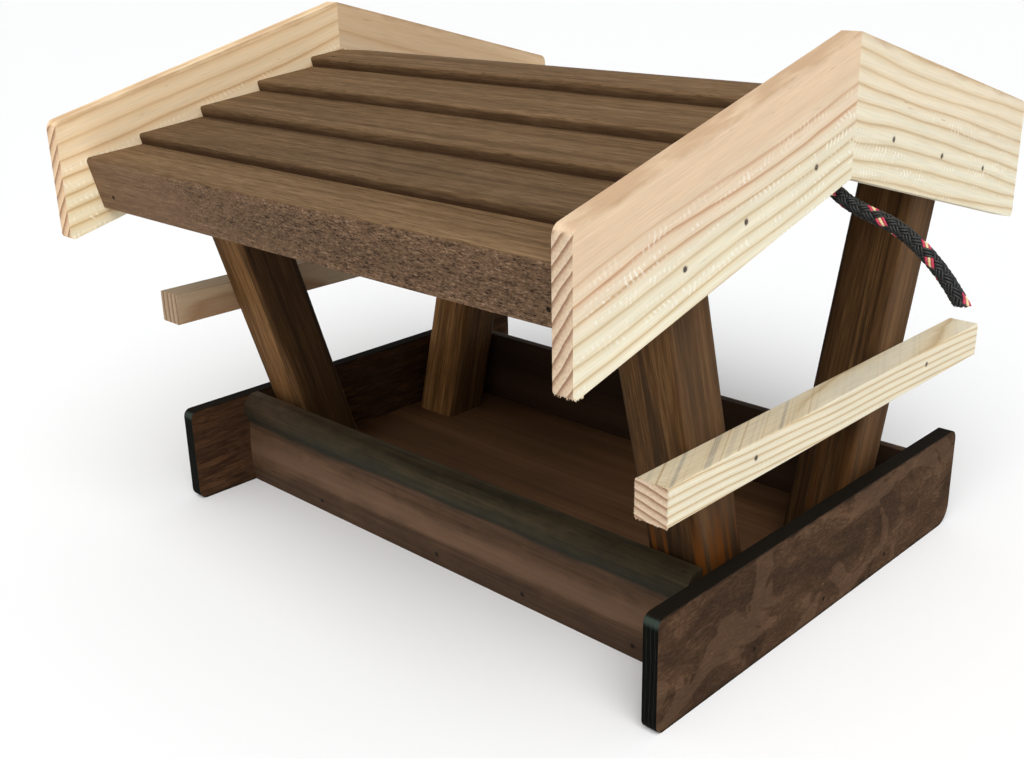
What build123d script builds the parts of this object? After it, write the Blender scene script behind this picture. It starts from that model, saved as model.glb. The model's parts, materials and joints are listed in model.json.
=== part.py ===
"""Gable-roofed wooden bird feeder house with a hanging rope under its ridge.

Frame: +Z up, X along the ridge, front towards -Y. The origin is the centre of the
floor's underside. Millimetres.
"""

from build123d import *
import math
import os

os.makedirs("parts", exist_ok=True)

SIDES = {"front": -1, "rear": 1}
GABLES = {"left": -1, "right": 1}

# ---------------------------------------------------------------- driving dimensions
tray_length = 400.0
end_board_length = 305.0
wall_height = 64.0
ply = 9.0
floor_thickness = 12.0
floor_width = 197.0
front_rail_gap = 5.0

post_size = 36.0
post_corner = 5.5
post_outer_x = 184.0
# corner: (side, gable, middle of the foot across the tray, lean away from the middle in degrees)
posts = {
    "front_left": ("front", "left", 58.0, 17.0),
    "front_right": ("front", "right", 64.5, 14.5),
    "rear_left": ("rear", "left", 61.0, 14.0),
    "rear_right": ("rear", "right", 51.5, 16.5),
}

perch_width = 18.5
perch_height = 20.0
perch_length = 312.0
perch_bottom = {"left": 128.0, "right": 111.5}
perch_shift_y = {"left": -1.0, "right": 4.5}

roof_pitch = 14.2
roof_left_x = -198.5
roof_right_x = 186.5
underside_ridge_z = 256.9
eave_reach = 196.0
eave_depth = 32.3
eave_board_width = 50.75
lap_tip_height = 32.5
lap_board_length = 57.0
lap_board_step = 6.63
lap_exposure = 46.4
top_board_tip = 18.6
lap_board_count = 4
rafter_depth = 17.7
rafter_width = 34.0
ridge_batten_width = 24.0
ridge_batten_bottom = 256.0

barge_thickness = 11.0
barge_width = 68.0
barge_top_corner = 6.0
barge_tip_corner = 2.5
# gable: (outward end of the roof, apex height, pitch in degrees)
barge_gable = {
    "left": (roof_left_x, 318.0, 14.5),
    "right": (roof_right_x, 315.6, 15.3),
}
# gable and side: how far the board reaches from the ridge to its plumb-cut end
barge_reach = {
    ("left", "front"): 214.0,
    ("left", "rear"): 210.0,
    ("right", "front"): 209.0,
    ("right", "rear"): 204.0,
}

rope_diameter = 8.0
rope_z = 251.9
rope_held_half = 144.0
staple_x = 130.0
staple_wire = 2.0
staple_leg_top = 264.0

nail_head_radius = 1.3
nail_head_height = 0.8
nail_shank_radius = 0.8
nail_point = 2.5

# ---------------------------------------------------------------- derived dimensions
inner_length = tray_length - 2 * ply
rail_inner_y = floor_width / 2
pitch = math.radians(roof_pitch)
board_drop = lap_board_step / lap_exposure
roof_length = roof_right_x - roof_left_x
rafter_x = {
    "left": roof_left_x + rafter_width / 2,
    "right": roof_right_x - rafter_width / 2,
}


def slope_point(side, along, height):
    """(y, z) of a point on a roof slope: distance down from the ridge, height off the underside."""
    y = along * math.cos(pitch) + height * math.sin(pitch)
    z = underside_ridge_z - along * math.sin(pitch) + height * math.cos(pitch)
    return side * y, z


def slope_vector(side, along, height):
    """Direction on a roof slope, down the slope and square off it."""
    y = along * math.cos(pitch) + height * math.sin(pitch)
    z = -along * math.sin(pitch) + height * math.cos(pitch)
    return 0, side * y, z


def slope_spot(side, x, along, height):
    """Point in space on a roof slope."""
    y, z = slope_point(side, along, height)
    return x, y, z


def post_middle(corner, z):
    """How far a post's middle line stands from the ridge line at height z, signed."""
    side, _, foot_y, lean = posts[corner]
    return SIDES[side] * (foot_y + math.tan(math.radians(lean)) * (z - floor_thickness))


def barge_bottom(gable, y):
    """Height of a bargeboard's lower edge at distance y from the ridge line."""
    _, apex_z, angle = barge_gable[gable]
    rise = math.radians(angle)
    return apex_z - abs(y) * math.tan(rise) - barge_width / math.cos(rise)


def nail(length):
    """One nail with the top of its head at the origin, pointing down."""
    with BuildPart() as piece:
        with BuildSketch(Plane.XZ):
            with BuildLine():
                Polyline(
                    (0, 0),
                    (nail_head_radius, 0),
                    (nail_head_radius, -nail_head_height),
                    (nail_shank_radius, -nail_head_height),
                    (nail_shank_radius, nail_point - length),
                    (0, -length),
                    close=True,
                )
            make_face()
        revolve(axis=Axis.Z)
    return piece.part


def nails(length, spots):
    """A set of equal nails; each spot is the centre of the head and the way the head faces."""
    one = nail(length)
    with BuildPart() as group:
        for centre, facing in spots:
            with Locations(Plane(origin=centre, z_dir=facing)):
                add(one)
    return group


def finish(piece, name):
    """Label a finished piece and write it out."""
    piece.part.label = name
    export_step(piece.part, f"parts/{name}.step")


# ---------------------------------------------------------------- nails
rail_nail_x = (-113.5, -1.5, 70.0, 150.0)
rail_nail_z = 8.0
rail_face_y = rail_inner_y + 8.9
rail_nails = nails(
    30,
    [((x, s * rail_face_y, rail_nail_z), (0, s, 0)) for s in SIDES.values() for x in rail_nail_x],
)
finish(rail_nails, "rail_nails")

end_nail_y = (-69.0, 0.0, 69.0)
end_nail_z = 9.0
end_board_nails = nails(
    30,
    [((g * tray_length / 2, y, end_nail_z), (g, 0, 0)) for g in GABLES.values() for y in end_nail_y],
)
finish(end_board_nails, "end_board_nails")

perch_face_x = post_outer_x + perch_width
perch_nail_y = {"front": -81.0, "rear": 95.0}
perch_nail_spots = []
for gable, g in GABLES.items():
    z = perch_bottom[gable] + perch_height / 2 + 1.5
    for y in perch_nail_y.values():
        perch_nail_spots.append(((g * perch_face_x, y, z), (g, 0, 0)))
perch_nails = nails(40, perch_nail_spots)
finish(perch_nails, "perch_nails")

post_nail_offset = 9.0
post_nails = nails(
    40,
    [
        ((GABLES[gable] * (post_outer_x - post_size / 2) + dx, SIDES[side] * foot_y, 0), (0, 0, -1))
        for side, gable, foot_y, _ in posts.values()
        for dx in (-post_nail_offset, post_nail_offset)
    ],
)
finish(post_nails, "post_nails")

rafter_nail_spots = []
for corner, (side, gable, _, _) in posts.items():
    s = SIDES[side]
    x = 168.0 if gable == "right" else -174.0
    top_y = abs(post_middle(corner, 228.0))
    along = top_y / math.cos(pitch) - rafter_depth * math.tan(pitch)
    rafter_nail_spots.append((slope_spot(s, x, along, rafter_depth), slope_vector(s, 0, 1)))
rafter_nails = nails(45, rafter_nail_spots)
finish(rafter_nails, "rafter_nails")

barge_nail_front = ((34.0, 20.0), (91.5, 20.0), (136.5, 20.0))
barge_nail_rear = ((41.0, 25.0), (98.5, 24.0), (153.5, 24.0))
barge_nail_spots = []
for gable, g in GABLES.items():
    x = barge_gable[gable][0] + g * barge_thickness
    for s, rows in ((-1, barge_nail_front), (1, barge_nail_rear)):
        for y, up in rows:
            barge_nail_spots.append(((x, s * y, barge_bottom(gable, y) + up), (g, 0, 0)))
bargeboard_nails = nails(25, barge_nail_spots)
finish(bargeboard_nails, "bargeboard_nails")

hidden_nail_back = 51.5
top_nail_back = 6.5
roof_nail_spots = []
for s in SIDES.values():
    for i in range(lap_board_count):
        tip = top_board_tip + i * lap_exposure
        back = top_nail_back if i == 0 else hidden_nail_back
        height = lap_tip_height - back * board_drop
        for x in rafter_x.values():
            spot = slope_spot(s, x, tip - back, height)
            roof_nail_spots.append((spot, slope_vector(s, -board_drop, 1)))
roof_nails = nails(22, roof_nail_spots)
finish(roof_nails, "roof_nails")

eave_nail_height = 9.0
eave_nails = nails(
    70,
    [
        (slope_spot(s, x, eave_reach, eave_nail_height), slope_vector(s, 1, 0))
        for s in SIDES.values()
        for x in (rafter_x["left"], rafter_x["right"])
    ],
)
finish(eave_nails, "eave_nails")

# ---------------------------------------------------------------- tray
with BuildPart() as tray_floor:
    with BuildSketch():
        Rectangle(inner_length, floor_width)
    extrude(amount=floor_thickness)
    add(rail_nails.part, mode=Mode.SUBTRACT)
    add(end_board_nails.part, mode=Mode.SUBTRACT)
    add(post_nails.part, mode=Mode.SUBTRACT)
finish(tray_floor, "tray_floor")

end_corner = {(-1, 0): 6.0, (1, 0): 12.0, (-1, 1): 5.0, (1, 1): 7.0}
for gable, g in GABLES.items():
    inner_x = g * inner_length / 2
    with BuildPart() as end_board:
        with BuildSketch(Plane.YZ.offset(inner_x)) as outline:
            with Locations((0, wall_height / 2)):
                Rectangle(end_board_length, wall_height)
            for (end, top), radius in end_corner.items():
                corner_point = (end * end_board_length / 2, top * wall_height)
                fillet(outline.vertices().sort_by_distance(corner_point)[0], radius=radius)
        extrude(amount=g * ply)
        add(end_board_nails.part, mode=Mode.SUBTRACT)
    finish(end_board, f"{gable}_end_board")

# The rail is a moulded board: a rounded bead along its top, a soft cove, then a crowned face.
rail_ends = {"front": (-inner_length / 2, inner_length / 2 - front_rail_gap),
             "rear": (-inner_length / 2, inner_length / 2)}
for side, s in SIDES.items():
    start_x, end_x = rail_ends[side]
    inner = rail_inner_y
    with BuildPart() as rail:
        with BuildSketch(Plane.YZ.offset(start_x)):
            with BuildLine():
                Polyline((s * (inner + 8.2), 0), (s * inner, 0), (s * inner, wall_height),
                         (s * (inner + 5), wall_height))
                ThreePointArc((s * (inner + 5), wall_height), (s * (inner + 10.8), 60.6),
                              (s * (inner + 12.6), 54.5))
                Bezier((s * (inner + 12.6), 54.5), (s * (inner + 13.2), 49.5),
                       (s * (inner + 8.6), 47), (s * (inner + 8.9), 40))
                ThreePointArc((s * (inner + 8.9), 40), (s * (inner + 10.1), 21),
                              (s * (inner + 8.2), 0))
            make_face()
        extrude(amount=end_x - start_x)
        add(rail_nails.part, mode=Mode.SUBTRACT)
    finish(rail, f"{side}_rail")

# ---------------------------------------------------------------- posts and perches
spare = 40.0
for corner, (side, gable, foot_y, lean) in posts.items():
    s = SIDES[side]
    tilt = math.radians(lean)
    upward = Vector(0, s * math.sin(tilt), math.cos(tilt))
    foot = Vector(GABLES[gable] * (post_outer_x - post_size / 2), s * foot_y, floor_thickness)
    underside = Plane(origin=(0, 0, underside_ridge_z), z_dir=slope_vector(s, 0, 1))
    with BuildPart() as post:
        with BuildSketch(Plane(origin=foot - upward * spare, x_dir=(1, 0, 0), z_dir=upward)):
            Rectangle(post_size, post_size)
            fillet(vertices(), post_corner)
        extrude(amount=underside_ridge_z + spare)
        split(bisect_by=Plane.XY.offset(floor_thickness), keep=Keep.TOP)
        split(bisect_by=underside, keep=Keep.BOTTOM)
        add(perch_nails.part, mode=Mode.SUBTRACT)
        add(post_nails.part, mode=Mode.SUBTRACT)
        add(rafter_nails.part, mode=Mode.SUBTRACT)
    finish(post, f"{corner}_post")

perch_edge = 0.8
for gable, g in GABLES.items():
    middle_x = g * (post_outer_x + perch_width / 2)
    middle_z = perch_bottom[gable] + perch_height / 2
    first_y = perch_shift_y[gable] - perch_length / 2
    with BuildPart() as perch:
        with BuildSketch(Plane(origin=(middle_x, first_y, middle_z), x_dir=(1, 0, 0), z_dir=(0, 1, 0))):
            Rectangle(perch_width, perch_height)
            fillet(vertices(), perch_edge)
        extrude(amount=perch_length)
        add(perch_nails.part, mode=Mode.SUBTRACT)
    finish(perch, f"{gable}_perch")

# ---------------------------------------------------------------- roof frame
eave_back = eave_reach - eave_board_width
for side, s in SIDES.items():
    ridge_cut = Keep.TOP if s < 0 else Keep.BOTTOM
    for gable, middle_x in rafter_x.items():
        with BuildPart() as rafter:
            with BuildSketch(Plane.YZ.offset(middle_x - rafter_width / 2)):
                with BuildLine():
                    Polyline(
                        slope_point(s, -spare, 0),
                        slope_point(s, eave_back, 0),
                        slope_point(s, eave_back, rafter_depth),
                        slope_point(s, -spare, rafter_depth),
                        close=True,
                    )
                make_face()
            extrude(amount=rafter_width)
            split(bisect_by=Plane.XZ, keep=ridge_cut)
            add(rafter_nails.part, mode=Mode.SUBTRACT)
            add(bargeboard_nails.part, mode=Mode.SUBTRACT)
            add(roof_nails.part, mode=Mode.SUBTRACT)
            add(eave_nails.part, mode=Mode.SUBTRACT)
        finish(rafter, f"{side}_{gable}_rafter")

with BuildPart() as rope_staples:
    for x in (-staple_x, staple_x):
        reach = rope_diameter / 2 + staple_wire / 2 + 0.1
        with BuildLine(Plane.YZ.offset(x)) as bend:
            Line((-reach, staple_leg_top), (-reach, rope_z))
            ThreePointArc((-reach, rope_z), (0, rope_z - reach), (reach, rope_z))
            Line((reach, rope_z), (reach, staple_leg_top))
        with BuildSketch(Plane(origin=(x, -reach, staple_leg_top), z_dir=(0, 0, -1))):
            Circle(staple_wire / 2)
        sweep(path=bend.wires()[0])
finish(rope_staples, "rope_staples")

board_rise = math.tan(pitch - math.atan(board_drop))
seat_height = lap_tip_height - lap_board_step - top_board_tip * board_drop
seat_z = underside_ridge_z + seat_height / (math.cos(pitch) + math.sin(pitch) * board_drop)
batten_half = ridge_batten_width / 2
with BuildPart() as ridge_batten:
    with BuildSketch(Plane.YZ.offset(rafter_x["left"] + rafter_width / 2)):
        with BuildLine():
            Polyline(
                (-batten_half, ridge_batten_bottom),
                (batten_half, ridge_batten_bottom),
                (batten_half, seat_z - batten_half * board_rise),
                (0, seat_z),
                (-batten_half, seat_z - batten_half * board_rise),
                close=True,
            )
        make_face()
    extrude(amount=roof_length - 2 * rafter_width)
    add(rope_staples.part, mode=Mode.SUBTRACT)
finish(ridge_batten, "ridge_batten")

# ---------------------------------------------------------------- roof covering
eave_edge = 2.5
tread_back = lap_tip_height - lap_board_step
tread_drop = (eave_depth - tread_back) / (eave_reach - top_board_tip - 3 * lap_exposure)
for side, s in SIDES.items():
    tip = slope_point(s, eave_reach, eave_depth)
    with BuildPart() as eave_board:
        with BuildSketch(Plane.YZ.offset(roof_left_x)) as section:
            with BuildLine():
                Polyline(
                    slope_point(s, eave_reach, 0),
                    tip,
                    slope_point(s, eave_back, eave_depth - eave_board_width * tread_drop),
                    slope_point(s, eave_back, 0),
                    close=True,
                )
            make_face()
            fillet(section.vertices().sort_by_distance(tip)[0], radius=eave_edge)
        extrude(amount=roof_length)
        add(eave_nails.part, mode=Mode.SUBTRACT)
        add(bargeboard_nails.part, mode=Mode.SUBTRACT)
    finish(eave_board, f"{side}_eave_board")

tip_edge = 1.6
for side, s in SIDES.items():
    ridge_cut = Keep.TOP if s < 0 else Keep.BOTTOM
    for i in range(lap_board_count):
        tip_along = top_board_tip + i * lap_exposure
        back_along = tip_along - lap_board_length
        back_height = lap_tip_height - lap_board_length * board_drop
        tip = slope_point(s, tip_along, lap_tip_height)
        with BuildPart() as roof_board:
            with BuildSketch(Plane.YZ.offset(roof_left_x)) as section:
                with BuildLine():
                    Polyline(
                        slope_point(s, tip_along, lap_tip_height - lap_board_step),
                        tip,
                        slope_point(s, back_along, back_height),
                        slope_point(s, back_along, back_height - lap_board_step),
                        close=True,
                    )
                make_face()
                fillet(section.vertices().sort_by_distance(tip)[0], radius=tip_edge)
            extrude(amount=roof_length)
            if i == 0:
                split(bisect_by=Plane.XZ, keep=ridge_cut)
            add(roof_nails.part, mode=Mode.SUBTRACT)
        finish(roof_board, f"{side}_roof_board_{i + 1}")

# ---------------------------------------------------------------- bargeboards
for (gable, side), reach in barge_reach.items():
    inner_x, apex_z, angle = barge_gable[gable]
    s = SIDES[side]
    drop = reach * math.tan(math.radians(angle))
    plumb = barge_width / math.cos(math.radians(angle))
    top_end = (s * reach, apex_z - drop)
    bottom_end = (s * reach, apex_z - drop - plumb)
    with BuildPart() as bargeboard:
        with BuildSketch(Plane.YZ.offset(inner_x)) as outline:
            with BuildLine():
                Polyline((0, apex_z), top_end, bottom_end, (0, apex_z - plumb), close=True)
            make_face()
            fillet(outline.vertices().sort_by_distance(top_end)[0], radius=barge_top_corner)
            fillet(outline.vertices().sort_by_distance(bottom_end)[0], radius=barge_tip_corner)
        extrude(amount=GABLES[gable] * barge_thickness)
        add(bargeboard_nails.part, mode=Mode.SUBTRACT)
    finish(bargeboard, f"{side}_{gable}_bargeboard")

# ---------------------------------------------------------------- rope
# The rope lies under the ridge batten between its staples and hangs out below both gables.
right_tail = [
    (144.0, 0.0, 251.9),
    (158.0, 0.0, 251.9),
    (172.5, 0.0, 248.3),
    (185.0, 0.0, 241.2),
    (196.0, 0.0, 233.3),
    (209.0, 0.0, 229.0),
    (222.0, 0.0, 225.6),
    (234.0, 0.0, 219.0),
    (245.0, 0.0, 210.2),
    (254.5, 0.0, 200.3),
    (260.4, 0.0, 192.2),
]
left_tail = [
    (-144.0, 0.0, 251.9),
    (-158.0, 0.0, 251.9),
    (-175.0, 1.0, 246.0),
    (-192.0, 2.0, 239.5),
    (-208.0, 2.0, 231.5),
    (-222.0, 1.0, 222.0),
    (-234.0, -1.0, 211.0),
    (-243.0, -3.0, 198.5),
    (-249.0, -6.0, 184.5),
]


def bend_radii(route):
    """Radius of the arc at each inner point of a route: as large as the two runs allow."""
    points = [Vector(*p) for p in route]
    radii = []
    for before, here, after in zip(points, points[1:], points[2:]):
        run = min((here - before).length, (after - here).length)
        turn = math.radians((here - before).get_angle(after - here))
        radii.append(0.45 * run / math.tan(turn / 2))
    return radii


for name, route in (("rope_right_tail", right_tail), ("rope_left_tail", left_tail)):
    radii = bend_radii(route)
    print(name, "radii", [round(r, 1) for r in radii])
    outward = Vector(*route[1]) - Vector(*route[0])
    with BuildPart() as rope_tail:
        with BuildLine() as path:
            FilletPolyline(*route, radius=radii)
        with BuildSketch(Plane(origin=route[0], z_dir=outward)):
            Circle(rope_diameter / 2)
        sweep(path=path.wires()[0])
    length = path.wires()[0].length
    expected = length * math.pi * rope_diameter**2 / 4
    print(name, "length", round(length, 1), "volume", round(rope_tail.part.volume / expected, 4))
    finish(rope_tail, name)

with BuildPart() as rope_held:
    with BuildSketch(Plane(origin=(-rope_held_half, 0, rope_z), z_dir=(1, 0, 0))):
        Circle(rope_diameter / 2)
    extrude(amount=2 * rope_held_half)
finish(rope_held, "rope_under_ridge")
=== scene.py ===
"""Looks of the gable-roofed bird feeder house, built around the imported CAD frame. Metres."""

import bmesh
import bpy
import json
import math
import random
from mathutils import Euler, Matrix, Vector

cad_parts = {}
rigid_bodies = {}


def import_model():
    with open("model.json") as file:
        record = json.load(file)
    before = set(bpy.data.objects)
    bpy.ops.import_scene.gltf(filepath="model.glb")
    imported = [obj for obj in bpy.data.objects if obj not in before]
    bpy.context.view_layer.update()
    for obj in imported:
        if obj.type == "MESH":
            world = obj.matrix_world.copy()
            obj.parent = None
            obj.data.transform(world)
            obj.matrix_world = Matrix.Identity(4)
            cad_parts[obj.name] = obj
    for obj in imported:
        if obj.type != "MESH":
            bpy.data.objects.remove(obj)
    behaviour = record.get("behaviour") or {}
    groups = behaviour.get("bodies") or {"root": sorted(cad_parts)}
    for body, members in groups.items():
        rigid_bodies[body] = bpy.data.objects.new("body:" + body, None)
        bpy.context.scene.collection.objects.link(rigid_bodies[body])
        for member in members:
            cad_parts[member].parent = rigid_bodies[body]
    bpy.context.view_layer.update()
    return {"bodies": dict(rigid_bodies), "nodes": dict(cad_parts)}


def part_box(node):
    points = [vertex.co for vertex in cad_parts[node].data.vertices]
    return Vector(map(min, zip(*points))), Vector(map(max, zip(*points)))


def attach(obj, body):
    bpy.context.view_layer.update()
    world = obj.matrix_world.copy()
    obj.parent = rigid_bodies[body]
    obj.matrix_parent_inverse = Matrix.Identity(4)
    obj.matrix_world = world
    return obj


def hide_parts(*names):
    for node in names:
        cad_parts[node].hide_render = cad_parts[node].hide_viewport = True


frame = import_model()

ROOT = next(iter(frame["bodies"]))
CAD = frame["nodes"]
FRONT_REAR = {"front": -1, "rear": 1}
LEFT_RIGHT = {"left": -1, "right": 1}
ROOF_PITCH = math.radians(14.2)
EAVE_RISE = 0.0323          # upper front edge of an eave board above its lowest point
BARGE_WIDTH = 0.068
BARGE_PITCH = {"left": math.radians(14.5), "right": math.radians(15.3)}
ROOF_TONES = (1.0, 1.0, 1.0, 0.92, 0.8)  # brightness from the eave to the ridge
NAIL_APART = 0.004          # points of two nails are always further apart than this
BLUNT = 0.0002              # depth of the flat rim of a nail head


# ------------------------------------------------------------------ camera, light and floor
def make_camera():
    """Camera above the front right corner, at the viewing angle that the house is judged from."""
    data = bpy.data.cameras.new("camera")
    data.lens = 43.5
    data.sensor_width = 36.0
    data.clip_start = 0.01
    camera = bpy.data.objects.new("camera", data)
    camera.location = (0.4988, -0.5531, 0.3690)
    tilt, roll, turn = 69.593, 1.160, 43.787
    camera.rotation_euler = Euler([math.radians(degrees) for degrees in (tilt, roll, turn)])
    bpy.context.collection.objects.link(camera)
    bpy.context.scene.camera = camera


def area_light(name, place, target, size, watts):
    data = bpy.data.lights.new(name, "AREA")
    data.shape = "RECTANGLE"
    data.size, data.size_y = size
    data.energy = watts
    light = bpy.data.objects.new(name, data)
    light.location = place
    light.rotation_euler = (Vector(target) - Vector(place)).to_track_quat("-Z", "Y").to_euler()
    bpy.context.collection.objects.link(light)


def soft_sun(toward, strength, degrees):
    """Even daylight from one direction, with soft shadows."""
    data = bpy.data.lights.new("daylight", "SUN")
    data.energy = strength
    data.angle = math.radians(degrees)
    light = bpy.data.objects.new("daylight", data)
    light.rotation_euler = Vector(toward).to_track_quat("Z", "Y").to_euler()
    bpy.context.collection.objects.link(light)


def make_stage():
    """Pale floor, soft daylight and a world that is dimmer overhead than at the horizon."""
    reach = 30.0
    pale = 0.93
    corners = [(-reach, -reach, 0), (reach, -reach, 0), (reach, reach, 0), (-reach, reach, 0)]
    floor_mesh = bpy.data.meshes.new("floor")
    floor_mesh.from_pydata(corners, [], [(0, 1, 2, 3)])
    floor = bpy.data.objects.new("floor", floor_mesh)
    bpy.context.collection.objects.link(floor)
    paint = bpy.data.materials.new("floor_paint")
    paint.use_nodes = True
    shader = paint.node_tree.nodes["Principled BSDF"]
    shader.inputs["Base Color"].default_value = (pale, pale, pale, 1)
    shader.inputs["Roughness"].default_value = 0.9
    shader.inputs["Specular IOR Level"].default_value = 0.1
    floor_mesh.materials.append(paint)
    soft_sun(toward=(0.42, -0.40, 0.82), strength=2.25, degrees=55)
    area_light("key", place=(0.7, -1.5, 1.1), target=(0, 0, 0.15), size=(1.2, 1.2), watts=5)
    world = bpy.context.scene.world or bpy.data.worlds.new("world")
    bpy.context.scene.world = world
    world.use_nodes = True
    background = world.node_tree.nodes["Background"]
    background.inputs["Color"].default_value = (0.98, 0.99, 1.0, 1)
    nodes, links = world.node_tree.nodes, world.node_tree.links
    split = nodes.new("ShaderNodeSeparateXYZ")
    links.new(nodes.new("ShaderNodeTexCoord").outputs["Generated"], split.inputs[0])
    horizon_strength, overhead_strength, fade_height = 0.95, 0.48, 0.25
    fade = nodes.new("ShaderNodeMapRange")
    fade.inputs["From Max"].default_value = fade_height
    fade.inputs["To Min"].default_value = horizon_strength
    fade.inputs["To Max"].default_value = overhead_strength
    links.new(split.outputs["Z"], fade.inputs["Value"])
    links.new(fade.outputs["Result"], background.inputs["Strength"])
    bpy.context.scene.view_settings.view_transform = "Standard"


make_camera()
make_stage()


# ------------------------------------------------------------------ shader helpers
def srgb(red, green, blue):
    """Linear colour of an 8-bit display colour."""
    def linear(value):
        value /= 255
        return value / 12.92 if value <= 0.04045 else ((value + 0.055) / 1.055) ** 2.4

    return linear(red), linear(green), linear(blue), 1.0


class Shade:
    """A node material with short names for the nodes that the woods and the rope use."""

    def __init__(self, name, roughness, specular):
        self.material = bpy.data.materials.new(name)
        self.material.use_nodes = True
        self.tree = self.material.node_tree
        self.shader = self.tree.nodes["Principled BSDF"]
        self.shader.inputs["Roughness"].default_value = roughness
        self.shader.inputs["Specular IOR Level"].default_value = specular

    def put(self, socket, value):
        if isinstance(value, bpy.types.NodeSocket):
            self.tree.links.new(value, socket)
        else:
            socket.default_value = value

    def math(self, operation, *values):
        node = self.tree.nodes.new("ShaderNodeMath")
        node.operation = operation
        for socket, value in zip(node.inputs, values):
            self.put(socket, value)
        return node.outputs[0]

    def vector(self, operation, first, second):
        node = self.tree.nodes.new("ShaderNodeVectorMath")
        node.operation = operation
        self.put(node.inputs[0], first)
        self.put(node.inputs[1], second)
        return node.outputs["Value"] if operation in ("DOT_PRODUCT", "DISTANCE") else node.outputs[0]

    def place(self):
        return self.tree.nodes.new("ShaderNodeTexCoord").outputs["Object"]

    def facing(self, direction):
        """Dot product of the surface's own normal and a fixed direction."""
        normal = self.tree.nodes.new("ShaderNodeTexCoord").outputs["Normal"]
        return self.vector("DOT_PRODUCT", normal, tuple(direction))

    def local(self, origin, along, across):
        """Coordinates of a board: along its grain, across its face and through its thickness."""
        along = Vector(along).normalized()
        across = Vector(across).normalized()
        from_origin = self.vector("SUBTRACT", self.place(), tuple(origin))
        axes = (along, across, along.cross(across))
        parts = [self.vector("DOT_PRODUCT", from_origin, tuple(axis)) for axis in axes]
        return self.combine(*parts), parts

    def combine(self, x, y, z):
        node = self.tree.nodes.new("ShaderNodeCombineXYZ")
        for socket, value in zip(node.inputs, (x, y, z)):
            self.put(socket, value)
        return node.outputs[0]

    def noise(self, coords, scale, detail=3.0, roughness=0.55, distortion=0.0):
        """Noise from 0 to 1; scale is cycles per metre along, across and through."""
        node = self.tree.nodes.new("ShaderNodeTexNoise")
        self.put(node.inputs["Vector"], self.vector("MULTIPLY", coords, tuple(scale)))
        node.inputs["Scale"].default_value = 1.0
        node.inputs["Detail"].default_value = detail
        node.inputs["Roughness"].default_value = roughness
        node.inputs["Distortion"].default_value = distortion
        return node.outputs["Fac"]

    def ramp(self, value, stops):
        node = self.tree.nodes.new("ShaderNodeValToRGB")
        elements = node.color_ramp.elements
        while len(elements) < len(stops):
            elements.new(0.5)
        for element, (position, color) in zip(elements, stops):
            element.position = position
            element.color = color
        self.put(node.inputs[0], value)
        return node.outputs["Color"]

    def step(self, value, start, end):
        """0 before start, 1 after end, smooth between; start may be the larger one."""
        node = self.tree.nodes.new("ShaderNodeMapRange")
        node.interpolation_type = "SMOOTHSTEP"
        self.put(node.inputs["Value"], value)
        low, high = min(start, end), max(start, end)
        node.inputs["From Min"].default_value = low
        node.inputs["From Max"].default_value = high
        node.inputs["To Min"].default_value = 0.0 if start < end else 1.0
        node.inputs["To Max"].default_value = 1.0 if start < end else 0.0
        return node.outputs["Result"]

    def mix(self, factor, first, second, blend="MIX"):
        node = self.tree.nodes.new("ShaderNodeMix")
        node.data_type = "RGBA"
        node.blend_type = blend
        self.put(node.inputs[0], factor)
        self.put(node.inputs[6], first)
        self.put(node.inputs[7], second)
        return node.outputs[2]

    def tint(self, color, mask, strength, tone):
        """Color with tone laid over it where mask is 1, as strongly as strength says."""
        return self.mix(self.math("MULTIPLY", mask, strength), color, tone)

    def gain(self, color, value, low, high):
        """Color multiplied by a grey between low and high as value goes from 0 to 1."""
        grey = self.ramp(value, [(0.25, (low, low, low, 1)), (0.75, (high, high, high, 1))])
        return self.mix(1.0, color, grey, "MULTIPLY")

    def finish(self, color, height, depth):
        """Links the colour and a bump whose height of 1 stands for depth in metres."""
        self.put(self.shader.inputs["Base Color"], color)
        bump = self.tree.nodes.new("ShaderNodeBump")
        bump.inputs["Strength"].default_value = 0.7
        bump.inputs["Distance"].default_value = depth
        self.put(bump.inputs["Height"], height)
        self.tree.links.new(bump.outputs["Normal"], self.shader.inputs["Normal"])
        return self.material


def assign(node, material):
    """Gives a CAD node one finished material."""
    slots = CAD[node].material_slots
    for item in slots:
        item.material = material
    if not slots:
        CAD[node].data.materials.append(material)


def slope_direction(side, pitch):
    """Unit vector down a roof slope; side is -1 at the front and 1 at the rear."""
    return Vector((0, side * math.cos(pitch), -math.sin(pitch)))


def box_middle(node):
    low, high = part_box(node)
    return (low + high) / 2


def nail_heads(node, axis):
    """Centres of the heads of a set of nails that all lie along one axis (0 is X, 1 is Y)."""
    groups = []
    for vertex in CAD[node].data.vertices:
        place = CAD[node].matrix_world @ vertex.co
        for group in groups:
            apart = place - group[0]
            apart[axis] = 0
            if apart.length < NAIL_APART and place[axis] * group[0][axis] > 0:
                group.append(place)
                break
        else:
            groups.append([place])
    heads = []
    for group in groups:
        outer = max(group, key=lambda place: abs(place[axis]))[axis]
        rim = [place for place in group if abs(place[axis] - outer) < BLUNT]
        heads.append(sum(rim, Vector()) / len(rim))
    return heads


def bruise(shade, color, spots, radius, tint, strength):
    """Darkened, torn fibres round each nail head."""
    ragged = shade.math("MULTIPLY", shade.noise(shade.place(), (600, 600, 600), 2), radius)
    for spot in spots:
        away = shade.math("ADD", shade.vector("DISTANCE", shade.place(), tuple(spot)), ragged)
        near = shade.step(away, 1.9 * radius, 1.1 * radius)
        color = shade.tint(color, near, strength, tint)
    return color


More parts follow.
